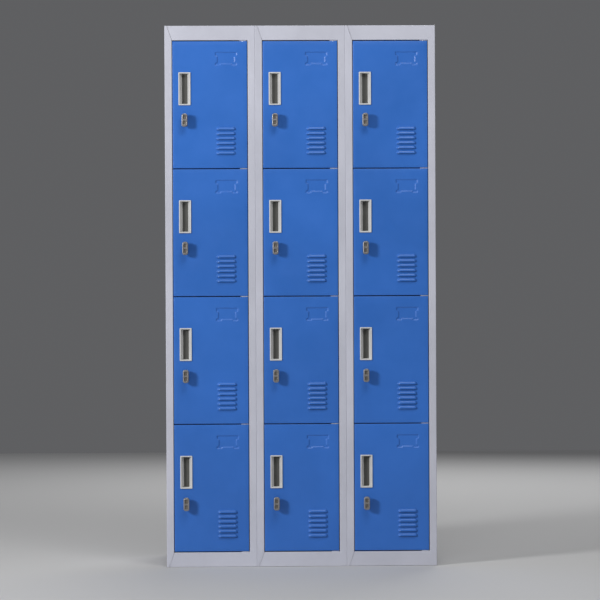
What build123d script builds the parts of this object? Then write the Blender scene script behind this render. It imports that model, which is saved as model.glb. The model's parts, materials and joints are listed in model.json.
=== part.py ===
from build123d import *
import math
import os

# A block of steel lockers: columns side by side, each with a stack of doors.
# Row frame: X to the right, Y from front to back, Z up, origin on the floor under the middle of the carcass.
# One column is modelled with its front left bottom corner at the origin and then copied to its places.
# One door is modelled with the left bottom corner of its front face at the origin, and copied too.

# Carcass
COLUMN_NAMES = "abc"
TIER_COUNT = 4
COLUMN_WIDTH = 300.0
HEIGHT = 1800.0
DEPTH = 450.0
SHEET = 0.8
BEND_RADIUS = 1.6
SEAM = 1.0
FIT_GAP = 0.1

# Front frame of a column
STILE_WIDTH = 24.0
RAIL_HEIGHT = 48.5
FRAME_DEPTH = 22.0
MITRE_FOOT = 7.0
FRAME_CORNER_RADIUS = 2.5
STOP_LIP = 10.0

# Back
BACK_FLANGE = 15.0
SWAGE_RADIUS = 6.0
SWAGE_SPACING = 120.0
SWAGE_END = 90.0

# Top, base and shelves
PAN_START = FRAME_DEPTH + 1.2
PAN_FLANGE = 15.0
SHELF_START = 28.0
SHELF_END = 440.0
SHELF_LIP = 20.0

# Doors
DOOR_SIDE_GAP = 2.0
DOOR_END_GAP = 3.0
DOOR_GAP = 3.0
DOOR_SHEET = 1.0
DOOR_DEPTH = 20.0
DOOR_RETURN = 12.0
DOOR_WIDTH = COLUMN_WIDTH - 2 * STILE_WIDTH - 2 * DOOR_SIDE_GAP
OPENING_HEIGHT = HEIGHT - 2 * RAIL_HEIGHT
DOOR_STACK = OPENING_HEIGHT - 2 * DOOR_END_GAP - (TIER_COUNT - 1) * DOOR_GAP
DOOR_HEIGHT = DOOR_STACK / TIER_COUNT
DOOR_PITCH = DOOR_HEIGHT + DOOR_GAP
DOOR_LEFT = STILE_WIDTH + DOOR_SIDE_GAP
LOWEST_DOOR = RAIL_HEIGHT + DOOR_END_GAP

# Hinges: round pins through plates that stand in the gaps above and below each door
HINGE_INSET = 14.0
HINGE_DEPTH = 5.5
PIN_RADIUS = 2.0
PIN_CLEARANCE = 0.05
PIN_REACH = 6.5
PLATE_THICKNESS = 2.0
PLATE_LENGTH = 27.0
PLATE_DEPTH = 12.0
PLATE_SETBACK = 2.4
PLATE_CORNER = 3.0
PLATE_NOTCH = 4.0
HINGE_X = COLUMN_WIDTH - STILE_WIDTH - DOOR_SIDE_GAP - HINGE_INSET

# Louvres, pressed outwards with their mouths facing down
LOUVRE_COUNT = 6
LOUVRE_PITCH = 16.1
LOUVRE_WIDTH = 65.0
LOUVRE_RADIUS = 9.1
LOUVRE_AXIS_DEPTH = 2.6
LOUVRE_CENTRE_X = 177.2
HIGHEST_LOUVRE = 129.0

# Card holder, pressed inwards
CARD_X = 178.0
CARD_TOP = 384.7
CARD_HEIGHT = 42.0
CARD_HALF_WIDTH = 35.2
CARD_WAIST_HALF = 28.5
CARD_EAR_HALF = 19.6
CARD_NOTCH = 4.5
CARD_DEPTH = 2.0
CARD_TAPER = 30.0
CARD_CORNER = 1.2

# Inset pull
FITTINGS_X = 39.9
PULL_WIDTH = 40.2
PULL_HEIGHT = 109.5
PULL_CENTRE_Z = 264.3
PULL_RIM = 4.0
PULL_PROUD = 3.5
PULL_DEPTH = 13.0
PULL_WALL = 1.5
PULL_FLOOR_WIDTH = 18.6
PULL_FLOOR_SHIFT = 0.7
PULL_END_SLOPE = 1.5
PULL_CORNER = 2.0
PULL_FLOOR_THICKNESS = 1.5
PULL_FLOOR_GAP = 0.05

# Latch
LATCH_Z = 159.0
COLLAR_RADIUS = 10.0
COLLAR_LENGTH = 15.0
BARREL_RADIUS = 9.0
BARREL_LENGTH = 20.0
ROTOR_RADIUS = 6.0
ROTOR_CLEARANCE = 0.07
ROTOR_END = 24.0
PADLOCK_HOLE_RADIUS = 3.5
PADLOCK_HOLE_Y = -8.0
NUT_FLATS = 24.0
NUT_THICKNESS = 5.0
KNOB_WIDTH = 20.0
KNOB_LENGTH = 44.5
KNOB_BACK = -15.4
KNOB_FRONT = -29.0
KNOB_END_RADIUS = 5.0
KNOB_WINDOW_WIDTH = 11.0
KNOB_WINDOW_HEIGHT = 13.0
KNOB_WINDOW_DEPTH = 3.0
KNOB_BAR = 5.0
CAM_THICKNESS = 2.0
CAM_END_GAP = 0.05
CAM_WIDTH = 14.0
CAM_REACH = 46.0
CAM_SQUARE = 7.0
CAM_SCREW_RADIUS = 2.0
CAM_SCREW_LENGTH = 8.0
CAM_SCREW_HEAD_RADIUS = 4.0
CAM_SCREW_HEAD = 2.4

# Rubber door buffers
BUFFER_RADIUS = 4.0
BUFFER_THICKNESS = 1.9
BUFFER_INSET = 60.0

# Fasteners
BOLT_RADIUS = 3.0
BOLT_HOLE_RADIUS = 3.25
BOLT_FLATS = 10.0
BOLT_HEAD = 4.0
BOLT_NUT = 5.0
BOLT_LENGTH = 8.0
BOLT_DEPTHS = (60.0, 400.0)
BOLT_HEIGHTS = (262.0, 1538.0)
RIVET_RADIUS = 2.0
RIVET_HOLE_RADIUS = 2.05
RIVET_HEAD_RADIUS = 4.0
RIVET_HEAD = 1.0
RIVET_BULB_RADIUS = 3.0
RIVET_BULB = 3.0
RIVET_COUNT = 7
RIVET_END = 60.0
WALL_HOLE_RADIUS = 4.0
WALL_HOLE_SPACING = 200.0
WALL_HOLE_Z = 1700.0

ALONG_X = (0, 90, 0)
ALONG_Y = (90, 0, 0)
CORNER = (Align.MIN, Align.MIN, Align.MIN)

block_left = -len(COLUMN_NAMES) * COLUMN_WIDTH / 2
block_front = -DEPTH / 2
column_places = [(block_left + k * COLUMN_WIDTH, block_front, 0) for k in range(len(COLUMN_NAMES))]
shelf_heights = [LOWEST_DOOR + k * DOOR_PITCH - DOOR_GAP / 2 for k in range(1, TIER_COUNT)]


def depth_plane(depth):
    """The X-Z plane at a depth behind the front face. A negative extrusion runs to the back."""
    return Plane.XZ.offset(-depth)


def folded_section(points):
    """Section of a folded sheet. The points lie on its outer face, the metal on the right of the path."""
    with BuildSketch() as section:
        with BuildLine():
            FilletPolyline(*points, radius=BEND_RADIUS)
            offset(amount=SHEET, side=Side.RIGHT)
        make_face()
    return section.sketch


def in_every_column(piece):
    """Copies of a column's piece, one in each column, as separate solids."""
    with BuildPart() as group:
        with Locations(*column_places):
            add(piece)
    return group


# ---------------------------------------------------------------- side panels

bolt_holes = [(y, z) for y in BOLT_DEPTHS for z in BOLT_HEIGHTS]
rivet_step = (HEIGHT - 2 * RIVET_END) / (RIVET_COUNT - 1)
rivet_heights = [RIVET_END + k * rivet_step for k in range(RIVET_COUNT)]

left_section = folded_section([
    (STILE_WIDTH + STOP_LIP, FRAME_DEPTH),
    (STILE_WIDTH, FRAME_DEPTH),
    (STILE_WIDTH, 0),
    (0, 0),
    (0, DEPTH),
    (BACK_FLANGE, DEPTH),
])

with BuildPart() as left_side_panel:
    with BuildSketch():
        add(left_section)
    extrude(amount=HEIGHT)
    # The stile ends are mitred where the rails of the front frame meet them.
    with BuildSketch(depth_plane(-1)):
        with BuildLine():
            Polyline(
                (MITRE_FOOT, HEIGHT + 1),
                (2 * STILE_WIDTH, HEIGHT + 1),
                (2 * STILE_WIDTH, HEIGHT - RAIL_HEIGHT),
                (STILE_WIDTH, HEIGHT - RAIL_HEIGHT),
                (MITRE_FOOT, HEIGHT),
                close=True,
            )
        make_face()
        mirror(about=Plane.XZ.offset(-HEIGHT / 2))
    extrude(amount=-FRAME_DEPTH - 2, mode=Mode.SUBTRACT)
    # Tabs folded over the open ends of the stile.
    with Locations((SHEET, SHEET, 0), (SHEET, SHEET, HEIGHT - SHEET)):
        Box(MITRE_FOOT - SHEET, FRAME_DEPTH - SHEET, SHEET, align=CORNER)
    with Locations(*[(SHEET / 2, y, z) for y, z in bolt_holes]):
        Cylinder(BOLT_HOLE_RADIUS, 2 * SHEET, rotation=ALONG_X, mode=Mode.SUBTRACT)
    with Locations(*[(BACK_FLANGE / 2, DEPTH - SHEET / 2, z) for z in rivet_heights]):
        Cylinder(RIVET_HOLE_RADIUS, 2 * SHEET, rotation=ALONG_Y, mode=Mode.SUBTRACT)

right_section = folded_section([
    (COLUMN_WIDTH - BACK_FLANGE, DEPTH),
    (COLUMN_WIDTH, DEPTH),
    (COLUMN_WIDTH, FRAME_DEPTH + FIT_GAP),
    (COLUMN_WIDTH - STILE_WIDTH, FRAME_DEPTH + FIT_GAP),
])

with BuildPart() as right_side_panel:
    with BuildSketch():
        add(right_section)
    extrude(amount=HEIGHT)
    with Locations(*[(COLUMN_WIDTH - SHEET / 2, y, z) for y, z in bolt_holes]):
        Cylinder(BOLT_HOLE_RADIUS, 2 * SHEET, rotation=ALONG_X, mode=Mode.SUBTRACT)
    with Locations(*[(COLUMN_WIDTH - BACK_FLANGE / 2, DEPTH - SHEET / 2, z) for z in rivet_heights]):
        Cylinder(RIVET_HOLE_RADIUS, 2 * SHEET, rotation=ALONG_Y, mode=Mode.SUBTRACT)

# ---------------------------------------------------------------- front frame


def frame_points(inset, mitre_shift):
    """Corners of the C-shaped front frame, its faces drawn in by inset and its mitres moved along X."""
    foot = MITRE_FOOT + mitre_shift
    head = STILE_WIDTH + mitre_shift
    right = COLUMN_WIDTH - inset
    opening_right = COLUMN_WIDTH - STILE_WIDTH + inset
    opening_bottom = RAIL_HEIGHT - inset
    opening_top = HEIGHT - RAIL_HEIGHT + inset
    return [
        (foot, HEIGHT - inset),
        (right, HEIGHT - inset),
        (right, inset),
        (foot, inset),
        (head, opening_bottom),
        (opening_right, opening_bottom),
        (opening_right, opening_top),
        (head, opening_top),
    ]


with BuildPart() as frame_hollow:
    with BuildSketch(depth_plane(SHEET)):
        with BuildLine():
            Polyline(*frame_points(SHEET, -STILE_WIDTH / 4), close=True)
        make_face()
    extrude(amount=-FRAME_DEPTH)
    hollow_front = frame_hollow.edges().filter_by_position(Axis.Y, SHEET - 0.01, SHEET + 0.01)
    fillet(hollow_front.filter_by(Axis.X) + hollow_front.filter_by(Axis.Z), BEND_RADIUS - SHEET)

with BuildPart() as front_frame:
    with BuildSketch(depth_plane(0)):
        with BuildLine():
            Polyline(*frame_points(0, SEAM), close=True)
        make_face()
    extrude(amount=-FRAME_DEPTH)
    outer_corners = front_frame.edges().filter_by(Axis.Y).filter_by_position(
        Axis.X, COLUMN_WIDTH - 0.01, COLUMN_WIDTH + 0.01
    )
    fillet(outer_corners, FRAME_CORNER_RADIUS)
    frame_edges = front_frame.edges().filter_by_position(Axis.Y, -0.01, 0.01)
    fillet(frame_edges.filter_by(Axis.X) + frame_edges.filter_by(Axis.Z), BEND_RADIUS)
    add(frame_hollow.part, mode=Mode.SUBTRACT)

# ---------------------------------------------------------------- top, base, shelves and back

pan_width = COLUMN_WIDTH - 2 * SHEET - 2 * FIT_GAP
pan_left = SHEET + FIT_GAP
back_face = DEPTH - SHEET
pan_depth = back_face - SHEET - FIT_GAP - PAN_START


def turned_down_pan(width, depth, height):
    """A tray lying face down: a flat sheet with its four edges folded down. Its corner is at the origin."""
    with BuildPart() as pan:
        Box(width, depth, height, align=CORNER)
        fillet(pan.edges().filter_by(Axis.Z), BEND_RADIUS)
        fillet(pan.edges().group_by(Axis.Z)[-1], BEND_RADIUS)
        with Locations((SHEET, SHEET, -1)):
            Box(
                width - 2 * SHEET,
                depth - 2 * SHEET,
                height - SHEET + 1,
                align=CORNER,
                mode=Mode.SUBTRACT,
            )
    return pan.part


rail_pan = turned_down_pan(pan_width, pan_depth, RAIL_HEIGHT)

with BuildPart() as top_panel:
    with Locations((pan_left, PAN_START, HEIGHT - RAIL_HEIGHT)):
        add(rail_pan)
    # Only the front edge reaches down behind the top rail; the others are short flanges.
    with Locations((0, PAN_START + 2 * SHEET, HEIGHT - RAIL_HEIGHT - 1)):
        Box(COLUMN_WIDTH, DEPTH, RAIL_HEIGHT - PAN_FLANGE + 1, align=CORNER, mode=Mode.SUBTRACT)

with BuildPart() as base_panel:
    with Locations((pan_left, PAN_START, 0)):
        add(rail_pan)

shelf_pan = turned_down_pan(pan_width, SHELF_END - SHELF_START, SHELF_LIP)

with BuildPart() as column_shelves:
    with Locations(*[(pan_left, SHELF_START, z + SHEET / 2 - SHELF_LIP) for z in shelf_heights]):
        add(shelf_pan)

swage_rows = [COLUMN_WIDTH / 2 + side * SWAGE_SPACING / 2 for side in (-1, 1)]
swage_places = [(x, back_face, HEIGHT / 2) for x in swage_rows]
wall_hole_rows = [COLUMN_WIDTH / 2 + side * WALL_HOLE_SPACING / 2 for side in (-1, 1)]
wall_holes = [(x, back_face, WALL_HOLE_Z) for x in wall_hole_rows]
flange_middles = [BACK_FLANGE / 2, COLUMN_WIDTH - BACK_FLANGE / 2]
rivet_places = [(x, back_face, z) for x in flange_middles for z in rivet_heights]

with BuildPart() as swage_groove:
    Cylinder(SWAGE_RADIUS - SHEET, HEIGHT - 2 * SWAGE_END)
    with Locations((0, 0, HEIGHT / 2 - SWAGE_END), (0, 0, SWAGE_END - HEIGHT / 2)):
        Sphere(SWAGE_RADIUS - SHEET)

with BuildPart() as swage_rib:
    Cylinder(SWAGE_RADIUS, HEIGHT - 2 * SWAGE_END)
    with Locations((0, 0, HEIGHT / 2 - SWAGE_END), (0, 0, SWAGE_END - HEIGHT / 2)):
        Sphere(SWAGE_RADIUS)
    split(bisect_by=Plane.XZ, keep=Keep.TOP)

back_inset = BEND_RADIUS + FIT_GAP

with BuildPart() as back_panel:
    with Locations((back_inset, back_face - SHEET, FIT_GAP)):
        Box(COLUMN_WIDTH - 2 * back_inset, SHEET, HEIGHT - 2 * FIT_GAP, align=CORNER)
    with Locations(*swage_places):
        add(swage_rib.part)
        add(swage_groove.part, mode=Mode.SUBTRACT)
    with Locations(*rivet_places):
        Cylinder(RIVET_HOLE_RADIUS, 4 * SHEET, rotation=ALONG_Y, mode=Mode.SUBTRACT)
    with Locations(*wall_holes):
        Cylinder(WALL_HOLE_RADIUS, 4 * SHEET, rotation=ALONG_Y, mode=Mode.SUBTRACT)

# ---------------------------------------------------------------- hinges and buffers

lowest_plate = RAIL_HEIGHT + PLATE_THICKNESS / 2
plate_middles = [lowest_plate] + shelf_heights + [HEIGHT - lowest_plate]

with BuildPart() as hinge_plate:
    with BuildSketch(Plane.XY.offset(-PLATE_THICKNESS / 2)) as plate_outline:
        with Locations((COLUMN_WIDTH - STILE_WIDTH - PLATE_LENGTH, PLATE_SETBACK)):
            Rectangle(PLATE_LENGTH, PLATE_DEPTH, align=(Align.MIN, Align.MIN))
        fillet(plate_outline.vertices().group_by(Axis.X)[0], PLATE_CORNER)
        # The end at the stile is cut back in front, so that it stays out of sight behind the frame's bend.
        chamfer(plate_outline.vertices().group_by(Axis.X)[-1].sort_by(Axis.Y)[0], PLATE_NOTCH)
        with Locations((HINGE_X, HINGE_DEPTH)):
            Circle(PIN_RADIUS + PIN_CLEARANCE, mode=Mode.SUBTRACT)
    extrude(amount=PLATE_THICKNESS)

with BuildPart() as column_plates:
    with Locations(*[(0, 0, z) for z in plate_middles]):
        add(hinge_plate.part)


def pin_span(index):
    """Lowest and highest point of a hinge pin: it reaches into the doors on either side of its plate."""
    middle = plate_middles[index]
    low = middle - PLATE_THICKNESS / 2 - PIN_REACH
    high = middle + PLATE_THICKNESS / 2 + PIN_REACH
    if index == 0:
        low = RAIL_HEIGHT
    if index == TIER_COUNT:
        high = HEIGHT - RAIL_HEIGHT
    return low, high


with BuildPart() as column_pins:
    for index in range(TIER_COUNT + 1):
        low, high = pin_span(index)
        with Locations((HINGE_X, HINGE_DEPTH, (low + high) / 2)):
            Cylinder(PIN_RADIUS, high - low)
    chamfer(column_pins.edges(), 0.4)

door_bottoms = [LOWEST_DOOR + k * DOOR_PITCH for k in range(TIER_COUNT)]
buffer_heights = [z + rise for z in door_bottoms for rise in (BUFFER_INSET, DOOR_HEIGHT - BUFFER_INSET)]
buffer_middle = FRAME_DEPTH - BUFFER_THICKNESS / 2

with BuildPart() as column_buffers:
    with Locations(*[(STILE_WIDTH + STOP_LIP / 2 + 1, buffer_middle, z) for z in buffer_heights]):
        Cylinder(BUFFER_RADIUS, BUFFER_THICKNESS, rotation=ALONG_Y)
    fillet(column_buffers.edges().group_by(Axis.Y)[0], 0.8)

# ---------------------------------------------------------------- fasteners

seam_places = [(block_left + k * COLUMN_WIDTH, block_front, 0) for k in range(1, len(COLUMN_NAMES))]

with BuildPart() as joining_bolt:
    with BuildSketch(Plane.YZ.offset(-SHEET - BOLT_HEAD)):
        RegularPolygon(BOLT_FLATS / 2, 6, major_radius=False)
    extrude(amount=BOLT_HEAD)
    with BuildSketch(Plane.YZ.offset(-SHEET)):
        Circle(BOLT_RADIUS)
    extrude(amount=SHEET + BOLT_LENGTH)
    chamfer(joining_bolt.faces().sort_by(Axis.X)[-1].edges(), 0.6)

with BuildPart() as joining_nut:
    with BuildSketch(Plane.YZ.offset(SHEET)):
        RegularPolygon(BOLT_FLATS / 2, 6, major_radius=False)
        Circle(BOLT_RADIUS + FIT_GAP / 2, mode=Mode.SUBTRACT)
    extrude(amount=BOLT_NUT)

with BuildPart() as joining_bolts:
    with Locations(*seam_places):
        with Locations(*[(0, y, z) for y, z in bolt_holes]):
            add(joining_bolt.part)
            add(joining_nut.part)

with BuildPart() as rivet:
    with BuildSketch(depth_plane(0)):
        Circle(RIVET_HEAD_RADIUS)
    extrude(amount=-RIVET_HEAD)
    fillet(rivet.faces().sort_by(Axis.Y)[-1].edges(), 0.8 * RIVET_HEAD)
    with BuildSketch(depth_plane(0)):
        Circle(RIVET_RADIUS)
    extrude(amount=2 * SHEET)
    with BuildSketch(depth_plane(-2 * SHEET)):
        Circle(RIVET_BULB_RADIUS)
    extrude(amount=RIVET_BULB)
    chamfer(rivet.faces().sort_by(Axis.Y)[0].edges(), RIVET_BULB / 3)

with BuildPart() as column_rivets:
    with Locations(*[(x, DEPTH, z) for x, y, z in rivet_places]):
        add(rivet.part)

# ---------------------------------------------------------------- door leaf

louvre_heights = [HIGHEST_LOUVRE - k * LOUVRE_PITCH for k in range(LOUVRE_COUNT)]
louvre_places = [(LOUVRE_CENTRE_X, LOUVRE_AXIS_DEPTH, z) for z in louvre_heights]
louvre_half = LOUVRE_WIDTH / 2 - math.sqrt(LOUVRE_RADIUS**2 - LOUVRE_AXIS_DEPTH**2)


def louvre_dome(radius):
    """Upper half of a round-ended bar lying along X, its axis on the origin."""
    with BuildPart() as dome:
        Cylinder(radius, 2 * louvre_half, rotation=ALONG_X)
        with Locations((-louvre_half, 0, 0), (louvre_half, 0, 0)):
            Sphere(radius)
        split(bisect_by=Plane.XY, keep=Keep.TOP)
    return dome.part


louvre_hollow = louvre_dome(LOUVRE_RADIUS - DOOR_SHEET)

with BuildPart() as louvre_hood:
    add(louvre_dome(LOUVRE_RADIUS))
    # The hood stops at the back of the door skin.
    split(bisect_by=depth_plane(DOOR_SHEET - LOUVRE_AXIS_DEPTH), keep=Keep.TOP)

with BuildSketch() as card_outline:
    with BuildLine():
        Polyline(
            (0, CARD_TOP),
            (CARD_HALF_WIDTH, CARD_TOP),
            (CARD_HALF_WIDTH, CARD_TOP - 0.24 * CARD_HEIGHT),
            (CARD_WAIST_HALF, CARD_TOP - 0.33 * CARD_HEIGHT),
            (CARD_WAIST_HALF, CARD_TOP - 0.79 * CARD_HEIGHT),
            (CARD_HALF_WIDTH, CARD_TOP - 0.86 * CARD_HEIGHT),
            (CARD_HALF_WIDTH, CARD_TOP - CARD_HEIGHT),
            (CARD_EAR_HALF, CARD_TOP - CARD_HEIGHT),
            (CARD_EAR_HALF - 1, CARD_TOP - CARD_HEIGHT + CARD_NOTCH),
            (0, CARD_TOP - CARD_HEIGHT + CARD_NOTCH),
        )
        mirror(about=Plane.YZ)
    make_face()
    fillet(card_outline.vertices(), CARD_CORNER)

with BuildPart() as door:
    Box(DOOR_WIDTH, DOOR_DEPTH, DOOR_HEIGHT, align=CORNER)
    fillet(door.edges().filter_by(Axis.Y), BEND_RADIUS / 2)
    fillet(door.faces().sort_by(Axis.Y)[0].edges(), BEND_RADIUS)
    # Hollow pan with its back edges returned inwards.
    with Locations((DOOR_SHEET, DOOR_SHEET, DOOR_SHEET)):
        Box(
            DOOR_WIDTH - 2 * DOOR_SHEET,
            DOOR_DEPTH - 2 * DOOR_SHEET,
            DOOR_HEIGHT - 2 * DOOR_SHEET,
            align=CORNER,
            mode=Mode.SUBTRACT,
        )
    with Locations((DOOR_RETURN, DOOR_DEPTH - 2 * DOOR_SHEET, DOOR_RETURN)):
        Box(
            DOOR_WIDTH - 2 * DOOR_RETURN,
            3 * DOOR_SHEET,
            DOOR_HEIGHT - 2 * DOOR_RETURN,
            align=CORNER,
            mode=Mode.SUBTRACT,
        )
    # Card holder: a shallow boss behind the skin and a tapered recess in front.
    with BuildSketch(depth_plane(CARD_DEPTH + DOOR_SHEET)):
        with Locations((CARD_X, 0)):
            add(card_outline.sketch)
    extrude(amount=CARD_DEPTH)
    with BuildSketch(depth_plane(0)):
        with Locations((CARD_X, 0)):
            add(card_outline.sketch)
    extrude(amount=-CARD_DEPTH, taper=CARD_TAPER, mode=Mode.SUBTRACT)
    # Louvres
    with Locations(*louvre_places):
        add(louvre_hood.part)
        add(louvre_hollow, mode=Mode.SUBTRACT)
    # Openings for the pull and the latch.
    with BuildSketch(depth_plane(-1)):
        with Locations((FITTINGS_X, PULL_CENTRE_Z)):
            Rectangle(PULL_WIDTH - PULL_RIM, PULL_HEIGHT - PULL_RIM)
        with Locations((FITTINGS_X, LATCH_Z)):
            Circle(BARREL_RADIUS + FIT_GAP)
    extrude(amount=-3 * DOOR_SHEET, mode=Mode.SUBTRACT)
    # Pivot holes in the top and bottom flanges.
    with Locations((DOOR_WIDTH - HINGE_INSET, HINGE_DEPTH, DOOR_HEIGHT / 2)):
        Cylinder(PIN_RADIUS + PIN_CLEARANCE, DOOR_HEIGHT + 1, mode=Mode.SUBTRACT)

# ---------------------------------------------------------------- inset pull

mouth_width = PULL_WIDTH - 2 * PULL_RIM
mouth_height = PULL_HEIGHT - 2 * PULL_RIM
floor_height = mouth_height - 2 * PULL_END_SLOPE
plate_width = PULL_FLOOR_WIDTH + 2 * PULL_WALL
plate_height = floor_height + 2 * PULL_WALL


def pull_section(depth, width, height, shift=0):
    """A rounded rectangle round the pull's middle, at a depth behind the door's front face."""
    with BuildSketch(depth_plane(depth)) as section:
        with Locations((FITTINGS_X + shift, PULL_CENTRE_Z)):
            RectangleRounded(width, height, PULL_CORNER)
    return section.sketch


with BuildPart() as pull_mouth:
    add(pull_section(-PULL_PROUD, mouth_width, mouth_height))
    add(pull_section(PULL_DEPTH, PULL_FLOOR_WIDTH, floor_height, PULL_FLOOR_SHIFT))
    loft()

with BuildPart() as pull_bezel:
    with BuildSketch(depth_plane(0)):
        with Locations((FITTINGS_X, PULL_CENTRE_Z)):
            RectangleRounded(PULL_WIDTH, PULL_HEIGHT, PULL_CORNER)
    extrude(amount=PULL_PROUD)
    fillet(pull_bezel.faces().sort_by(Axis.Y)[0].edges(), 1)
    add(pull_section(0, mouth_width + PULL_WALL, mouth_height + PULL_WALL))
    add(pull_section(PULL_DEPTH, plate_width, plate_height, PULL_FLOOR_SHIFT))
    loft()
    add(pull_mouth.part, mode=Mode.SUBTRACT)

with BuildPart() as pull_floor:
    with BuildSketch(depth_plane(PULL_DEPTH + PULL_FLOOR_GAP)):
        with Locations((FITTINGS_X + PULL_FLOOR_SHIFT, PULL_CENTRE_Z)):
            Rectangle(plate_width, plate_height)
    extrude(amount=-PULL_FLOOR_THICKNESS)

with BuildPart() as pull:
    add(pull_bezel.part)
    add(pull_floor.part)

# ---------------------------------------------------------------- latch housing with its nut

bore_radius = ROTOR_RADIUS + ROTOR_CLEARANCE

with BuildPart() as latch_housing:
    with BuildSketch(depth_plane(0)):
        with Locations((FITTINGS_X, LATCH_Z)):
            Circle(COLLAR_RADIUS)
    extrude(amount=COLLAR_LENGTH)
    chamfer(latch_housing.faces().sort_by(Axis.Y)[0].edges(), 0.8)
    with BuildSketch(depth_plane(0)):
        with Locations((FITTINGS_X, LATCH_Z)):
            Circle(BARREL_RADIUS)
    extrude(amount=-BARREL_LENGTH)
    with Locations((FITTINGS_X, 0, LATCH_Z)):
        Cylinder(bore_radius, 4 * BARREL_LENGTH, rotation=ALONG_Y, mode=Mode.SUBTRACT)
    with Locations((FITTINGS_X, PADLOCK_HOLE_Y, LATCH_Z)):
        Cylinder(PADLOCK_HOLE_RADIUS, 4 * COLLAR_RADIUS, rotation=ALONG_X, mode=Mode.SUBTRACT)

with BuildPart() as latch_nut:
    with BuildSketch(depth_plane(DOOR_SHEET)):
        with Locations((FITTINGS_X, LATCH_Z)):
            RegularPolygon(NUT_FLATS / 2, 6, major_radius=False)
            Circle(BARREL_RADIUS + FIT_GAP / 2, mode=Mode.SUBTRACT)
    extrude(amount=-NUT_THICKNESS)

with BuildPart() as lock_body:
    add(latch_housing.part)
    add(latch_nut.part)

# ---------------------------------------------------------------- knob and rotor, cam and screw

cam_front = ROTOR_END + CAM_END_GAP
square_back = cam_front + CAM_THICKNESS + CAM_END_GAP
screw_seat = square_back + CAM_END_GAP

with BuildPart() as knob:
    with BuildSketch(depth_plane(KNOB_BACK)):
        with Locations((FITTINGS_X, LATCH_Z)):
            RectangleRounded(KNOB_WIDTH, KNOB_LENGTH, KNOB_END_RADIUS)
    extrude(amount=KNOB_BACK - KNOB_FRONT)
    fillet(knob.faces().sort_by(Axis.Y)[0].edges(), 2)
    with BuildSketch(depth_plane(KNOB_FRONT)):
        window_rise = (KNOB_BAR + KNOB_WINDOW_HEIGHT) / 2
        with Locations((FITTINGS_X, LATCH_Z - window_rise), (FITTINGS_X, LATCH_Z + window_rise)):
            RectangleRounded(KNOB_WINDOW_WIDTH, KNOB_WINDOW_HEIGHT, 2)
    extrude(amount=-KNOB_WINDOW_DEPTH, mode=Mode.SUBTRACT)
    with BuildSketch(depth_plane(KNOB_BACK)):
        with Locations((FITTINGS_X, LATCH_Z)):
            Circle(ROTOR_RADIUS)
    extrude(amount=KNOB_BACK - ROTOR_END)
    with BuildSketch(depth_plane(ROTOR_END)):
        with Locations((FITTINGS_X, LATCH_Z)):
            Rectangle(CAM_SQUARE, CAM_SQUARE)
    extrude(amount=ROTOR_END - square_back)
    with Locations((FITTINGS_X, square_back, LATCH_Z)):
        Cylinder(
            CAM_SCREW_RADIUS + FIT_GAP / 2,
            2 * (CAM_SCREW_LENGTH + 1),
            rotation=ALONG_Y,
            mode=Mode.SUBTRACT,
        )
    with Locations((FITTINGS_X, PADLOCK_HOLE_Y, LATCH_Z)):
        Cylinder(PADLOCK_HOLE_RADIUS, 3 * ROTOR_RADIUS, mode=Mode.SUBTRACT)

with BuildPart() as cam:
    with BuildSketch(depth_plane(cam_front)):
        with Locations((FITTINGS_X, LATCH_Z - (CAM_REACH - CAM_WIDTH / 2) / 2)):
            SlotOverall(CAM_REACH + CAM_WIDTH / 2, CAM_WIDTH, rotation=90)
        with Locations((FITTINGS_X, LATCH_Z)):
            Rectangle(CAM_SQUARE + FIT_GAP, CAM_SQUARE + FIT_GAP, mode=Mode.SUBTRACT)
    extrude(amount=-CAM_THICKNESS)

with BuildPart() as cam_screw:
    with BuildSketch(depth_plane(screw_seat)):
        with Locations((FITTINGS_X, LATCH_Z)):
            Circle(CAM_SCREW_HEAD_RADIUS)
    extrude(amount=-CAM_SCREW_HEAD)
    fillet(cam_screw.faces().sort_by(Axis.Y)[-1].edges(), 1)
    with BuildSketch(depth_plane(screw_seat)):
        with Locations((FITTINGS_X, LATCH_Z)):
            Circle(CAM_SCREW_RADIUS)
    extrude(amount=CAM_SCREW_LENGTH)
    with BuildSketch(depth_plane(screw_seat + CAM_SCREW_HEAD)):
        with Locations((FITTINGS_X, LATCH_Z)):
            RegularPolygon(1.5, 6)
    extrude(amount=1.4, mode=Mode.SUBTRACT)

with BuildPart() as latch_knob:
    add(knob.part)
    add(cam.part)
    add(cam_screw.part)

# ---------------------------------------------------------------- export

os.makedirs("parts", exist_ok=True)

carcass_pieces = {
    "left_side_panels": in_every_column(left_side_panel.part),
    "right_side_panels": in_every_column(right_side_panel.part),
    "front_frames": in_every_column(front_frame.part),
    "top_panels": in_every_column(top_panel.part),
    "base_panels": in_every_column(base_panel.part),
    "back_panels": in_every_column(back_panel.part),
    "shelves": in_every_column(column_shelves.part),
    "hinge_plates": in_every_column(column_plates.part),
    "hinge_pins": in_every_column(column_pins.part),
    "door_buffers": in_every_column(column_buffers.part),
    "back_rivets": in_every_column(column_rivets.part),
    "joining_bolts": joining_bolts,
}

# The solids of a node are written from left to right.
for name, piece in carcass_pieces.items():
    node = Compound(piece.solids().sort_by(Axis.X))
    node.label = name
    export_step(node, f"parts/{name}.step")

door_pieces = {"door": door, "pull": pull, "lock_body": lock_body, "latch_knob": latch_knob}

for column, column_place in zip(COLUMN_NAMES, column_places):
    for tier in range(1, TIER_COUNT + 1):
        door_bottom = door_bottoms[TIER_COUNT - tier]
        door_place = Location((column_place[0] + DOOR_LEFT, block_front, door_bottom))
        for kind, piece in door_pieces.items():
            placed = piece.part.moved(door_place)
            placed.label = f"{kind}_{column}{tier}"
            export_step(placed, f"parts/{placed.label}.step")
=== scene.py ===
import json
import math

import bmesh
import bpy
from mathutils import Matrix, Vector

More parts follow.
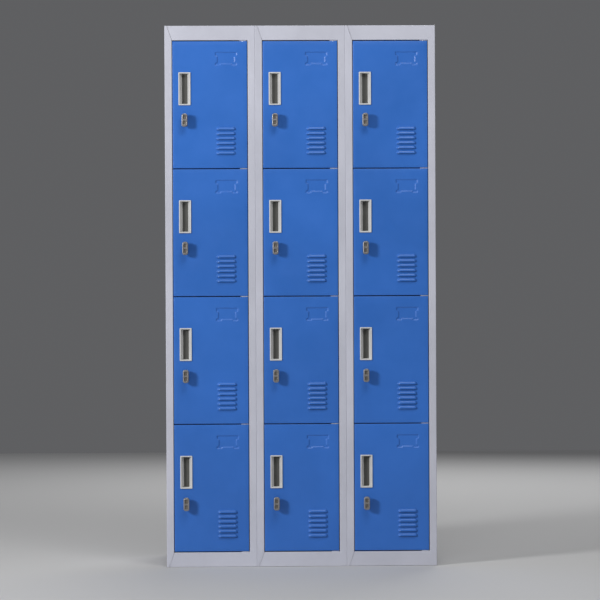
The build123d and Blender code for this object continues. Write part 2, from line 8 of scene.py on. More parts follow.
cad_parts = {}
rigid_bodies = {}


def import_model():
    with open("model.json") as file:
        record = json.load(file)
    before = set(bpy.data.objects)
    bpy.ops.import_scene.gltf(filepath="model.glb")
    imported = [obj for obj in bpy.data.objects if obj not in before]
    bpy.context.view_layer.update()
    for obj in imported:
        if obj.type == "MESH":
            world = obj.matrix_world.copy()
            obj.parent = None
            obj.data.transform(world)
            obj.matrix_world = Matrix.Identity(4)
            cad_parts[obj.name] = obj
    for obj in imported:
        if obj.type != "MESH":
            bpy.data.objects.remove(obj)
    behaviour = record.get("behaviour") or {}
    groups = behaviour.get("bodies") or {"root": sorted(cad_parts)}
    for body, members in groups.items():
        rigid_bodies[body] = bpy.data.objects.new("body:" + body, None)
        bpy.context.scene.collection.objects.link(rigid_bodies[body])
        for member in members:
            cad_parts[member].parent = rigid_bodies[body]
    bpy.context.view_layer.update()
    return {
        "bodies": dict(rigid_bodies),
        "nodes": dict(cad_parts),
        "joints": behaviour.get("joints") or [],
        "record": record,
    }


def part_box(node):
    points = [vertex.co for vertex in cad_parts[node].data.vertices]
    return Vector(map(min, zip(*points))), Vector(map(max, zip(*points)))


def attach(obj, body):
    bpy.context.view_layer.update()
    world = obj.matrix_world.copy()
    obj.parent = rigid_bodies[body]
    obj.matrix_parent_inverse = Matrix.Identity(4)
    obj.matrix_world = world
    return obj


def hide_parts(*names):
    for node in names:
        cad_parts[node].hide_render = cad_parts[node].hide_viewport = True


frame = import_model()

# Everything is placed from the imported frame. The sizes below are in millimetres, and MM turns
# them into metres. A door's own frame has X to the right and Z up from the left bottom corner
# of its front face, with Y = 0 on that face and the inside of the locker at positive Y.
MM = 0.001

# Door leaf: one pressed sheet
SHEET = 1.0
BEND = 1.6
BEND_STEPS = 3
DOOR_DEPTH = 20.0
RETURN = 12.0
LOUVRE_COUNT = 6
LOUVRE_PITCH = 16.1
LOUVRE_X = 177.2
HIGHEST_LIP = 128.3
LOUVRE_RADIUS = 9.1
LOUVRE_SINK = 2.6
LOUVRE_STRETCH = 1.2
LOUVRE_STRAIGHT = 46.8
LOUVRE_BLEND = 0.9
CARD_X = 178.0
CARD_TOP = 384.7
CARD_HEIGHT = 42.0
CARD_HALF = 35.2
CARD_WAIST = 28.5
CARD_EAR = 19.6
CARD_NOTCH = 4.5
CARD_DEPTH = 2.4
CARD_SLOPE = 3.2
PULL_CUT_MARGIN = 2.0
LOCK_HOLE = 9.1
LOCK_PATCH = 10.0
PIVOT_HOLE_RADIUS = 2.1

# Grid of the door skin: wide steps where it is flat, fine steps where it is pressed
FLAT_COLUMNS = (10.0, 80.0, 100.0, 120.0, 132.0, 222.0, 234.0)
FLAT_ROWS = (12.0, 28.0, 40.0, 190.0, 240.0, 264.0, 290.0, 330.0, 404.0)
FINE_STEP = 1.35
FINE_MARGIN = 3.0
HOOD_ROWS = (1.8, 3.5, 5.1, 6.5, 7.7, 8.7, 9.5, 10.2, 10.9, 11.9)
SLIT_STEP = 0.0001
CLOSED_SLIT = 0.02

# Inset pull
PULL_PROUD = 3.5
PULL_DEPTH = 13.0
PULL_FLOOR_HALF = 9.3
PULL_FLOOR_SHIFT = 0.7
PULL_FLOOR_INSET = 5.5
PULL_BACK_INSET = 2.6
PULL_PLATE = 1.5
PULL_PLATE_GAP = 0.05

# Latch knob
KNOB_CUT = 4.6
KNOB_SOFT = 1.6
KNOB_DEPTH = 13.6
WINDOW_HALF_WIDTH = 5.5
WINDOW_HALF_HEIGHT = 6.5
WINDOW_RISE = 9.0
WINDOW_DEPTH = 3.0
WINDOW_SILL = 0.6
PADLOCK_HOLE_RADIUS = 3.5
PADLOCK_HOLE_DEPTH = -8.0
PADLOCK_HOLE_REACH = 10.0
ROTOR_RADIUS = 6.0
ROTOR_END = 24.0
ROTOR_GAP = 0.02
CAM_FRONT = 24.05
CAM_THICKNESS = 2.0
CAM_HALF_WIDTH = 7.0
SCREW_HEAD = 2.4


# ---------------------------------------------------------------- where things are

door_ids = sorted(name[len("latch_"):] for name in frame["bodies"] if name.startswith("latch_"))
front_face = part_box("front_frames")[0].y
joint_places = {joint["name"]: Vector(joint["pos_m"]) for joint in frame["joints"]}


def door_corner(door):
    """Origin of a door's own frame, in metres."""
    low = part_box("door_" + door)[0]
    return Vector((low.x, front_face, low.z))


first = door_ids[0]
first_low, first_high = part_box("door_" + first)
DOOR_WIDTH = (first_high.x - first_low.x) / MM
DOOR_HEIGHT = (first_high.z - first_low.z) / MM
pull_low, pull_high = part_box("pull_" + first)
pull_middle = (pull_low + pull_high) / 2 - door_corner(first)
PULL_X = pull_middle.x / MM
PULL_Z = pull_middle.z / MM
PULL_HALF_WIDTH = (pull_high.x - pull_low.x) / MM / 2
PULL_HALF_HEIGHT = (pull_high.z - pull_low.z) / MM / 2
pivot = joint_places["door_" + first + "_hinge"] - door_corner(first)
PIVOT_X = pivot.x / MM
PIVOT_DEPTH = pivot.y / MM
latch_axis = joint_places["latch_" + first + "_turn"] - door_corner(first)
LATCH_X = latch_axis.x / MM
LATCH_Z = latch_axis.z / MM
knob_low, knob_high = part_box("latch_knob_" + first)
KNOB_HALF_WIDTH = (knob_high.x - knob_low.x) / MM / 2
KNOB_HALF_LENGTH = (knob_high.z / MM - joint_places["latch_" + first + "_turn"].z / MM)
KNOB_FRONT = (knob_low.y - front_face) / MM
CAM_REACH = (joint_places["latch_" + first + "_turn"].z - knob_low.z) / MM
LATCH_BACK = (knob_high.y - front_face) / MM


# ---------------------------------------------------------------- materials


def new_material(name):
    """A node material with its Principled shader: (material, nodes, links, shader)."""
    material = bpy.data.materials.new(name)
    material.use_nodes = True
    nodes = material.node_tree.nodes
    return material, nodes, material.node_tree.links, nodes["Principled BSDF"]


def noise(nodes, links, vector, scale, detail=3.0, roughness=0.5):
    """A noise texture read at a scale in cycles per metre."""
    texture = nodes.new("ShaderNodeTexNoise")
    texture.inputs["Scale"].default_value = scale
    texture.inputs["Detail"].default_value = detail
    texture.inputs["Roughness"].default_value = roughness
    links.new(vector, texture.inputs["Vector"])
    return texture.outputs["Fac"]


def remap(nodes, links, value, low, high, from_low=0.0, from_high=1.0):
    """A value mapped from one range to another and held inside it."""
    node = nodes.new("ShaderNodeMapRange")
    node.inputs["From Min"].default_value = from_low
    node.inputs["From Max"].default_value = from_high
    node.inputs["To Min"].default_value = low
    node.inputs["To Max"].default_value = high
    links.new(value, node.inputs["Value"])
    return node.outputs["Result"]


def mix_colour(nodes, links, factor, first_colour, second_colour):
    """Two colours mixed by a factor. Each colour is a socket or an RGBA value."""
    node = nodes.new("ShaderNodeMix")
    node.data_type = "RGBA"
    sockets = node.inputs[0], node.inputs[6], node.inputs[7]
    for socket, given in zip(sockets, (factor, first_colour, second_colour)):
        if isinstance(given, (tuple, list, float, int)):
            socket.default_value = given
        else:
            links.new(given, socket)
    return node.outputs[2]


def own_coordinates(nodes, links):
    """Object coordinates, shifted for every object so that copies don't look alike."""
    place = nodes.new("ShaderNodeTexCoord")
    info = nodes.new("ShaderNodeObjectInfo")
    shift = nodes.new("ShaderNodeVectorMath")
    shift.operation = "MULTIPLY_ADD"
    shift.inputs[1].default_value = (37.0, 53.0, 71.0)
    links.new(info.outputs["Random"], shift.inputs[0])
    links.new(place.outputs["Object"], shift.inputs[2])
    return shift.outputs[0]


def edge_mask(nodes, links, radius):
    """1 where the surface turns sharply within a radius in metres, 0 on flat stretches."""
    bevel = nodes.new("ShaderNodeBevel")
    bevel.samples = 4
    bevel.inputs["Radius"].default_value = radius
    geometry = nodes.new("ShaderNodeNewGeometry")
    dot = nodes.new("ShaderNodeVectorMath")
    dot.operation = "DOT_PRODUCT"
    links.new(bevel.outputs["Normal"], dot.inputs[0])
    links.new(geometry.outputs["Normal"], dot.inputs[1])
    return remap(nodes, links, dot.outputs["Value"], 1.0, 0.0, 0.72, 0.98)


def bumped(nodes, links, shader, height, strength, distance):
    """Bump on a shader from a height value."""
    bump = nodes.new("ShaderNodeBump")
    bump.inputs["Strength"].default_value = strength
    bump.inputs["Distance"].default_value = distance
    links.new(height, bump.inputs["Height"])
    links.new(bump.outputs["Normal"], shader.inputs["Normal"])


def powder_coat(name, colour, worn_and_highlight_colour, roughness, peel):
    """Baked powder coat: faint orange peel, cloudy gloss, and a paler colour on the folds that is
    partly a thinner, worn coat and partly a painted highlight along the bends.
    """
    material, nodes, links, shader = new_material(name)
    place = own_coordinates(nodes, links)
    cloud = noise(nodes, links, place, 3.0, 4.0, 0.6)
    mottle = noise(nodes, links, place, 45.0, 3.0, 0.5)
    dark = tuple(0.93 * part for part in colour[:3]) + (1.0,)
    light = tuple(min(1.0, 1.06 * part) for part in colour[:3]) + (1.0,)
    base = mix_colour(nodes, links, remap(nodes, links, cloud, 0.0, 1.0, 0.35, 0.65), dark, light)
    base = mix_colour(nodes, links, remap(nodes, links, mottle, 0.0, 0.12, 0.45, 0.7), base, light)
    scuff = noise(nodes, links, place, 160.0, 5.0, 0.7)
    # Paler colour on sharp folds in scuffed patches: partly edge wear, partly a painted highlight along
    # the bends.
    wear_and_highlight = nodes.new("ShaderNodeMath")
    wear_and_highlight.operation = "MULTIPLY"
    links.new(edge_mask(nodes, links, 0.0012), wear_and_highlight.inputs[0])
    links.new(remap(nodes, links, scuff, 0.15, 0.75, 0.4, 0.65), wear_and_highlight.inputs[1])
    base = mix_colour(nodes, links, wear_and_highlight.outputs[0], base, worn_and_highlight_colour)
    links.new(base, shader.inputs["Base Color"])
    gloss = noise(nodes, links, place, 12.0, 4.0, 0.6)
    gloss = remap(nodes, links, gloss, roughness - 0.05, roughness + 0.07, 0.3, 0.7)
    links.new(gloss, shader.inputs["Roughness"])
    shader.inputs["Specular IOR Level"].default_value = 0.35
    shader.inputs["Coat Weight"].default_value = 0.1
    shader.inputs["Coat Roughness"].default_value = 0.22
    peel_noise = noise(nodes, links, place, 420.0, 2.0, 0.4)
    bumped(nodes, links, shader, peel_noise, peel, 0.0004)
    return material


def moulded_plastic(name, colour, roughness, grain):
    """Moulded plastic with a fine spark-eroded grain and slight colour drift."""
    material, nodes, links, shader = new_material(name)
    place = own_coordinates(nodes, links)
    drift = noise(nodes, links, place, 20.0, 3.0, 0.6)
    dark = tuple(0.9 * part for part in colour[:3]) + (1.0,)
    base = mix_colour(nodes, links, remap(nodes, links, drift, 0.0, 1.0, 0.35, 0.65), dark, colour)
    grime = noise(nodes, links, place, 260.0, 4.0, 0.7)
    soiled = tuple(0.7 * part for part in colour[:3]) + (1.0,)
    base = mix_colour(nodes, links, remap(nodes, links, grime, 0.0, 0.35, 0.62, 0.8), base, soiled)
    links.new(base, shader.inputs["Base Color"])
    gloss = remap(nodes, links, drift, roughness - 0.06, roughness + 0.08)
    links.new(gloss, shader.inputs["Roughness"])
    fine = noise(nodes, links, place, 2200.0, 2.0, 0.5)
    bumped(nodes, links, shader, fine, grain, 0.00015)
    return material


def cast_metal(name, colour, roughness, pitting):
    """Satin-plated zinc casting: small pits, uneven gloss, brighter rubbed edges."""
    material, nodes, links, shader = new_material(name)
    place = own_coordinates(nodes, links)
    stain = noise(nodes, links, place, 90.0, 5.0, 0.65)
    dark = tuple(0.62 * part for part in colour[:3]) + (1.0,)
    base = mix_colour(nodes, links, remap(nodes, links, stain, 0.0, 1.0, 0.3, 0.7), dark, colour)
    rubbed = edge_mask(nodes, links, 0.0009)
    bright = tuple(min(1.0, 1.35 * part) for part in colour[:3]) + (1.0,)
    base = mix_colour(nodes, links, rubbed, base, bright)
    links.new(base, shader.inputs["Base Color"])
    shader.inputs["Metallic"].default_value = 0.85
    gloss = remap(nodes, links, stain, roughness + 0.1, roughness - 0.08, 0.3, 0.7)
    links.new(gloss, shader.inputs["Roughness"])
    pits = noise(nodes, links, place, 1100.0, 3.0, 0.6)
    bumped(nodes, links, shader, pits, pitting, 0.0002)
    return material


def bright_steel(name, colour, roughness):
    """Zinc-plated steel with fine drawing lines along its length."""
    material, nodes, links, shader = new_material(name)
    place = own_coordinates(nodes, links)
    stretch = nodes.new("ShaderNodeVectorMath")
    stretch.operation = "MULTIPLY"
    stretch.inputs[1].default_value = (1.0, 1.0, 0.05)
    links.new(place, stretch.inputs[0])
    lines = noise(nodes, links, stretch.outputs[0], 2500.0, 2.0, 0.5)
    spangle = noise(nodes, links, place, 240.0, 3.0, 0.6)
    dark = tuple(0.75 * part for part in colour[:3]) + (1.0,)
    base = mix_colour(nodes, links, remap(nodes, links, spangle, 0.0, 1.0, 0.35, 0.65), dark, colour)
    links.new(base, shader.inputs["Base Color"])
    shader.inputs["Metallic"].default_value = 1.0
    gloss = remap(nodes, links, spangle, roughness - 0.08, roughness + 0.1)
    links.new(gloss, shader.inputs["Roughness"])
    bumped(nodes, links, shader, lines, 0.3, 0.0001)
    return material


def black_rubber(name):
    """Matt rubber, dusty in patches."""
    material, nodes, links, shader = new_material(name)
    place = own_coordinates(nodes, links)
    dust = noise(nodes, links, place, 300.0, 4.0, 0.7)
    dust = remap(nodes, links, dust, 0.0, 0.6, 0.5, 0.8)
    base = mix_colour(nodes, links, dust, (0.018, 0.018, 0.018, 1), (0.08, 0.08, 0.08, 1))
    links.new(base, shader.inputs["Base Color"])
    shader.inputs["Roughness"].default_value = 0.75
    grain = noise(nodes, links, place, 1800.0, 2.0, 0.5)
    bumped(nodes, links, shader, grain, 0.3, 0.0002)
    return material


BLUE = (0.031, 0.141, 0.500, 1)
# Paler blue for the door folds: partly worn coat, partly a painted highlight along the bends.
PALE_BLUE_WEAR_AND_HIGHLIGHT = (0.11, 0.34, 0.72, 1)
GREY = (0.500, 0.508, 0.578, 1)
# Paler grey for the carcass folds: partly worn coat, partly a painted highlight along the bends.
PALE_GREY_WEAR_AND_HIGHLIGHT = (0.78, 0.79, 0.84, 1)

finishes = {
    "door_paint": powder_coat("door_powder_coat", BLUE, PALE_BLUE_WEAR_AND_HIGHLIGHT, 0.36, 0.25),
    "frame_paint": powder_coat("carcass_powder_coat", GREY, PALE_GREY_WEAR_AND_HIGHLIGHT, 0.40, 0.25),
    "pull_plastic": moulded_plastic("pull_plastic", (0.60, 0.60, 0.595, 1), 0.42, 0.25),
    # The very dark colour of the pull's back plate is painted shade for the deep recess.
    "pull_floor": moulded_plastic("pull_floor_plastic", (0.075, 0.075, 0.068, 1), 0.55, 0.4),
    "cast_zinc": cast_metal("cast_zinc", (0.41, 0.40, 0.40, 1), 0.38, 0.35),
    # Sunk window floors of the knob: the darker colour is painted shade for the recesses.
    "knob_window": cast_metal("knob_window", (0.25, 0.23, 0.205, 1), 0.5, 0.8),
    "plated_steel": bright_steel("plated_steel", (0.66, 0.66, 0.65, 1), 0.3),
    "black_rubber": black_rubber("black_rubber"),
}


# ---------------------------------------------------------------- mesh helpers


def scaled_mesh(name, points, faces):
    """A mesh from points in millimetres."""
    mesh = bpy.data.meshes.new(name)
    mesh.from_pydata([tuple(value * MM for value in point) for point in points], [], faces)
    mesh.validate()
    return mesh


def with_clean_normals(mesh, sharp_degrees=35):
    """Turns the faces outwards and shades the mesh smooth except across sharp edges."""
    work = bmesh.new()
    work.from_mesh(mesh)
    bmesh.ops.remove_doubles(work, verts=work.verts, dist=1e-7)
    bmesh.ops.recalc_face_normals(work, faces=work.faces)
    work.to_mesh(mesh)
    work.free()
    mesh.shade_smooth()
    mesh.set_sharp_from_angle(angle=math.radians(sharp_degrees))
    return mesh


def with_modifiers(mesh, *modifiers):
    """The mesh after the modifiers, each given as (type, {setting: value})."""
    carrier = bpy.data.objects.new("carrier", mesh)
    bpy.context.scene.collection.objects.link(carrier)
    for kind, settings in modifiers:
        modifier = carrier.modifiers.new(kind.lower(), kind)
        for setting, value in settings.items():
            setattr(modifier, setting, value)
    graph = bpy.context.evaluated_depsgraph_get()
    result = bpy.data.meshes.new_from_object(carrier.evaluated_get(graph))
    result.name = mesh.name
    bpy.data.objects.remove(carrier)
    return result


def tube_of_loops(loops, close_along=False, cap=False):
    """Points and faces of a skin through loops that all have the same number of points."""
    points = [point for loop in loops for point in loop]
    count = len(loops[0])
    faces = []
    last = len(loops) if close_along else len(loops) - 1
    for row in range(last):
        following = (row + 1) % len(loops)
        for k in range(count):
            after = (k + 1) % count
            faces.append((
                row * count + k,
                row * count + after,
                following * count + after,
                following * count + k,
            ))
    if cap:
        faces.append(tuple(reversed(range(count))))
        faces.append(tuple((len(loops) - 1) * count + k for k in range(count)))
    return points, faces


def joined(*pieces):
    """Several (points, faces) shells as one."""
    points, faces = [], []
    for more_points, more_faces in pieces:
        start = len(points)
        points += more_points
        faces += [tuple(start + index for index in face) for face in more_faces]
    return points, faces


def rounded_loop(centre_x, centre_z, half_width, half_height, radius, depth, steps=5):
    """A rounded rectangle in the X-Z plane at a depth, anticlockwise seen from the front."""
    loop = []
    corners = ((1, 1, 0), (-1, 1, 90), (-1, -1, 180), (1, -1, 270))
    for side_x, side_z, start in corners:
        for step in range(steps + 1):
            angle = math.radians(start + 90 * step / steps)
            x = centre_x + side_x * (half_width - radius) + radius * math.cos(angle)
            z = centre_z + side_z * (half_height - radius) + radius * math.sin(angle)
            loop.append((x, depth, z))
    return loop


def round_loop(centre_x, centre_z, radius, depth, count=32):
    """A circle in the X-Z plane at a depth."""
    turns = [2 * math.pi / count * k for k in range(count)]
    places = [(radius * math.cos(turn), radius * math.sin(turn)) for turn in turns]
    return [(centre_x + x, depth, centre_z + z) for x, z in places]


def upright_cylinder(x, depth, radius, low, high, count=24):
    """A closed cylinder along Z."""
    turn = 2 * math.pi / count
    ring = [(x + radius * math.cos(k * turn), depth + radius * math.sin(k * turn))
            for k in range(count)]
    return tube_of_loops([[(*place, height) for place in ring] for height in (low, high)], cap=True)


def without(mesh, shell):
    """A closed mesh with a closed shell, given as (points, faces), taken out of it."""
    cutter = bpy.data.objects.new("cutter", with_clean_normals(scaled_mesh("cutter", *shell)))
    bpy.context.scene.collection.objects.link(cutter)
    settings = {"operation": "DIFFERENCE", "solver": "EXACT", "object": cutter}
    result = with_modifiers(mesh, ("BOOLEAN", settings))
    bpy.data.objects.remove(cutter)
    return result


def place_on_doors(prefix, mesh, materials, body_prefix, node_prefix):
    """One piece on every door from a shared mesh in door coordinates."""
    for material in materials:
        mesh.materials.append(material)
    for door in door_ids:
        piece = bpy.data.objects.new(prefix + door, mesh)
        bpy.context.scene.collection.objects.link(piece)
        piece.location = door_corner(door)
        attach(piece, body_prefix + door)
        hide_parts(node_prefix + door)


# ---------------------------------------------------------------- door leaf


def soft_ramp(height, softness):
    """0 below zero and height above it, with a rounded turn between them."""
    return 0.5 * (height + math.sqrt(height * height + softness * softness))


def louvre_rise(x, z, lip):
    """How far the louvre over a lip stands proud of the skin at a point."""
    along = max(abs(x - LOUVRE_X) - LOUVRE_STRAIGHT / 2, 0.0)
    inside = LOUVRE_RADIUS**2 - along**2 - ((z - lip) / LOUVRE_STRETCH) ** 2
    rise = math.sqrt(max(inside, 0.0)) - LOUVRE_SINK
    return soft_ramp(rise, LOUVRE_BLEND) - soft_ramp(-LOUVRE_SINK, LOUVRE_BLEND)


card_half = [
    (0.0, 0.0),
    (CARD_HALF, 0.0),
    (CARD_HALF, -0.24 * CARD_HEIGHT),
    (CARD_WAIST, -0.33 * CARD_HEIGHT),
    (CARD_WAIST, -0.79 * CARD_HEIGHT),
    (CARD_HALF, -0.86 * CARD_HEIGHT),
    (CARD_HALF, -CARD_HEIGHT),
    (CARD_EAR, -CARD_HEIGHT),
    (CARD_EAR - 1.0, CARD_NOTCH - CARD_HEIGHT),
    (0.0, CARD_NOTCH - CARD_HEIGHT),
]


def card_inside(x, z):
    """Distance in from the card holder's outline, negative outside it; both halves match."""
    x, z = abs(x - CARD_X), z - CARD_TOP
    nearest = 1e9
    inside = False
    for (ax, az), (bx, bz) in zip(card_half, card_half[1:]):
        dx, dz = bx - ax, bz - az
        along = max(0.0, min(1.0, ((x - ax) * dx + (z - az) * dz) / (dx * dx + dz * dz)))
        nearest = min(nearest, math.hypot(x - ax - along * dx, z - az - along * dz))
        if (az > z) != (bz > z) and x < ax + (z - az) * dx / dz:
            inside = not inside
    return nearest if inside else -nearest


def card_sink(x, z):
    """Depth of the pressed card holder at a point, with rounded shoulders."""
    share = max(0.0, min(1.0, card_inside(x, z) / CARD_SLOPE + 0.5))
    return CARD_DEPTH * share * share * (3 - 2 * share)


def spread(low, high, step):
    """Evenly spaced values from low to high, no further apart than step."""
    count = math.ceil((high - low) / step)
    return [low + (high - low) * k / count for k in range(count + 1)]


def grid_columns():
    """X lines of the door skin's grid, dense where it is pressed."""
    half = CARD_HALF + FINE_MARGIN
    lines = [BEND, *FLAT_COLUMNS, DOOR_WIDTH - BEND]
    lines += [PULL_X - PULL_HALF_WIDTH + PULL_CUT_MARGIN, PULL_X + PULL_HALF_WIDTH - PULL_CUT_MARGIN]
    lines += spread(LATCH_X - LOCK_PATCH, LATCH_X + LOCK_PATCH, LOCK_PATCH / 2)
    lines += spread(LOUVRE_X - half, LOUVRE_X + half, FINE_STEP)
    return sorted(lines)


def grid_rows():
    """Z lines of the skin's grid as (height, lip of the louvre or None). A lip has two rows."""
    rows = [BEND, *FLAT_ROWS, DOOR_HEIGHT - BEND]
    rows += [PULL_Z - PULL_HALF_HEIGHT + PULL_CUT_MARGIN, PULL_Z + PULL_HALF_HEIGHT - PULL_CUT_MARGIN]
    rows += spread(LATCH_Z - LOCK_PATCH, LATCH_Z + LOCK_PATCH, LOCK_PATCH / 2)
    rows += spread(CARD_TOP - CARD_HEIGHT - FINE_MARGIN, CARD_TOP + FINE_MARGIN, FINE_STEP)
    rows = [(z, None) for z in rows]
    for k in range(LOUVRE_COUNT):
        lip = HIGHEST_LIP - k * LOUVRE_PITCH
        rows += [(lip - SLIT_STEP, None), (lip, lip)]
        rows += [(lip + rise, lip) for rise in HOOD_ROWS]
    return sorted(rows)


def skin_depth(x, z, lip):
    """Depth of the door's front surface at a point of the grid."""
    if lip is not None:
        return -louvre_rise(x, z, lip)
    return card_sink(x, z) if z > CARD_TOP - CARD_HEIGHT - 2 * FINE_MARGIN else 0.0


def door_surface():
    """Outer surface of the door leaf: pressed front, folded edges and the returns behind."""
    columns, rows = grid_columns(), grid_rows()
    points, faces, index = [], [], {}
    for j, (z, lip) in enumerate(rows):
        for i, x in enumerate(columns):
            depth = skin_depth(x, z, lip)
            # Beside a hood the two rows at its lip are one.
            if z == lip and depth > -CLOSED_SLIT:
                index[i, j] = index[i, j - 1]
                continue
            index[i, j] = len(points)
            points.append((x, depth, z))
    cut_half_width = PULL_HALF_WIDTH - PULL_CUT_MARGIN
    cut_half_height = PULL_HALF_HEIGHT - PULL_CUT_MARGIN
    for j in range(len(rows) - 1):
        low, (high, high_lip) = rows[j][0], rows[j + 1]
        middle_z = (low + high) / 2
        if high == high_lip:
            continue
        for i in range(len(columns) - 1):
            middle_x = (columns[i] + columns[i + 1]) / 2
            in_pull = (
                abs(middle_x - PULL_X) < cut_half_width and abs(middle_z - PULL_Z) < cut_half_height
            )
            in_lock = max(abs(middle_x - LATCH_X), abs(middle_z - LATCH_Z)) < LOCK_PATCH
            if in_pull or in_lock:
                continue
            face = (index[i, j], index[i + 1, j], index[i + 1, j + 1], index[i, j + 1])
            faces.append(tuple(dict.fromkeys(face)))
    add_lock_hole(points, faces, columns, rows, index)
    add_folds(points, faces, columns, rows, index)
    return points, [face for face in faces if len(face) > 2]


def add_lock_hole(points, faces, columns, rows, index):
    """Quads between the square patch round the latch and its round hole."""
    heights = [z for z, lip in rows]
    left = columns.index(min(columns, key=lambda x: abs(x - LATCH_X + LOCK_PATCH)))
    right = columns.index(min(columns, key=lambda x: abs(x - LATCH_X - LOCK_PATCH)))
    low = heights.index(min(heights, key=lambda z: abs(z - LATCH_Z + LOCK_PATCH)))
    high = heights.index(min(heights, key=lambda z: abs(z - LATCH_Z - LOCK_PATCH)))
    path = [(i, low) for i in range(left, right)]
    path += [(right, j) for j in range(low, high)]
    path += [(i, high) for i in range(right, left, -1)]
    path += [(left, j) for j in range(high, low, -1)]
    outer = [index[place] for place in path]
    inner = []
    for number in outer:
        x, _, z = points[number]
        angle = math.atan2(z - LATCH_Z, x - LATCH_X)
        inner.append(len(points))
        hole_x = LATCH_X + LOCK_HOLE * math.cos(angle)
        hole_z = LATCH_Z + LOCK_HOLE * math.sin(angle)
        points.append((hole_x, 0.0, hole_z))
    for k in range(len(outer)):
        after = (k + 1) % len(outer)
        faces.append((outer[k], outer[after], inner[after], inner[k]))


def add_folds(points, faces, columns, rows, index):
    """Rings of quads round the front: a bend, the side flange, a second bend and the return."""
    last_column, last_row = len(columns) - 1, len(rows) - 1
    path = [(i, 0) for i in range(last_column)]
    path += [(last_column, j) for j in range(last_row)]
    path += [(i, last_row) for i in range(last_column, 0, -1)]
    path += [(0, j) for j in range(last_row, 0, -1)]
    ring = list(dict.fromkeys(index[place] for place in path))
    rest = [points[number] for number in ring]
    turns = [math.pi / 2 * (step + 1) / BEND_STEPS for step in range(BEND_STEPS)]
    steps = [(BEND * (1 - math.sin(turn)), BEND * (1 - math.cos(turn))) for turn in turns]
    steps.append((0.0, DOOR_DEPTH - BEND))
    back_bend = DOOR_DEPTH - BEND
    steps += [(BEND * (1 - math.cos(turn)), back_bend + BEND * math.sin(turn)) for turn in turns]
    steps.append((RETURN, DOOR_DEPTH))
    for inset, depth in steps:
        scale_x = (DOOR_WIDTH - 2 * inset) / (DOOR_WIDTH - 2 * BEND)
        scale_z = (DOOR_HEIGHT - 2 * inset) / (DOOR_HEIGHT - 2 * BEND)
        following = []
        for x, _, z in rest:
            following.append(len(points))
            points.append((
                DOOR_WIDTH / 2 + (x - DOOR_WIDTH / 2) * scale_x,
                depth,
                DOOR_HEIGHT / 2 + (z - DOOR_HEIGHT / 2) * scale_z,
            ))
        for k in range(len(ring)):
            after = (k + 1) % len(ring)
            faces.append((ring[after], ring[k], following[k], following[after]))
        ring = following


def door_leaf_mesh():
    """The door leaf as a closed sheet of even thickness, with the holes that its hinge pins turn in."""
    surface = scaled_mesh("door_leaf", *door_surface())
    surface.shade_smooth()
    settings = {
        "thickness": SHEET * MM,
        "offset": -1.0,
        "use_even_offset": True,
        "use_quality_normals": True,
    }
    sheet = with_modifiers(surface, ("SOLIDIFY", settings))
    pivot_holes = [
        upright_cylinder(PIVOT_X, PIVOT_DEPTH, PIVOT_HOLE_RADIUS,
                         middle - 3 * SHEET, middle + 3 * SHEET)
        for middle in (0.0, DOOR_HEIGHT)
    ]
    return with_clean_normals(without(with_clean_normals(sheet, 40), joined(*pivot_holes)), 40)


# ---------------------------------------------------------------- inset pull


def pull_mesh():
    """Moulded bezel with slanted sides, and the plate that closes it behind, coloured very dark as
    painted shade for the deep recess.
    """
    half_width, half_height = PULL_HALF_WIDTH, PULL_HALF_HEIGHT
    # Each row is (inset from the outline, corner radius, drop from the crown), up the rim and over it.
    rim = [
        (0.0, 2.0, PULL_PROUD),
        (0.0, 2.0, 1.4),
        (0.15, 2.0, 0.7),
        (0.5, 1.8, 0.28),
        (1.0, 1.6, 0.07),
        (1.6, 1.5, 0.0),
        (2.6, 1.3, 0.0),
        (3.2, 1.2, 0.1),
        (3.65, 1.1, 0.45),
        (3.9, 1.0, 1.0),
    ]
    loops = [
        rounded_loop(PULL_X, PULL_Z, half_width - inset, half_height - inset, radius, drop - PULL_PROUD)
        for inset, radius, drop in rim
    ]
    floor_x = PULL_X + PULL_FLOOR_SHIFT
    floor_height = half_height - PULL_FLOOR_INSET
    # Down the slanted sides to the floor, then up again on the hidden back.
    for wider, taller, radius, depth in (
        (0.5, 0.2, 1.2, PULL_DEPTH - 0.8),
        (0.0, 0.0, 1.0, PULL_DEPTH),
        (1.5, 1.4, 1.5, PULL_DEPTH),
    ):
        width = PULL_FLOOR_HALF + wider
        loops.append(rounded_loop(floor_x, PULL_Z, width, floor_height + taller, radius, depth))
    back_width, back_height = half_width - PULL_BACK_INSET, half_height - PULL_BACK_INSET
    loops.append(rounded_loop(PULL_X, PULL_Z, back_width, back_height, 1.5, 0.0))
    bezel = tube_of_loops(loops, close_along=True)
    plate_half, plate_height = PULL_FLOOR_HALF + 1.4, floor_height + 1.3
    front, back = PULL_DEPTH + PULL_PLATE_GAP, PULL_DEPTH + PULL_PLATE
    edge = 0.3
    plate_loops = [
        rounded_loop(floor_x, PULL_Z, plate_half - inset, plate_height - inset, 1.5 - inset, depth)
        for inset, depth in ((edge, front), (0.0, front + edge), (0.0, back - edge), (edge, back))
    ]
    plate = tube_of_loops(plate_loops, cap=True)
    mesh = scaled_mesh("pull", *joined(bezel, plate))
    mesh = with_clean_normals(mesh, 40)
    # Faces of the back plate get the second slot, whose very dark colour is painted shade in the deep
    # recess.
    for face in mesh.polygons:
        face.material_index = 1 if face.center.y > (PULL_DEPTH + PULL_PLATE_GAP / 2) * MM else 0
    return mesh


# ---------------------------------------------------------------- latch knob


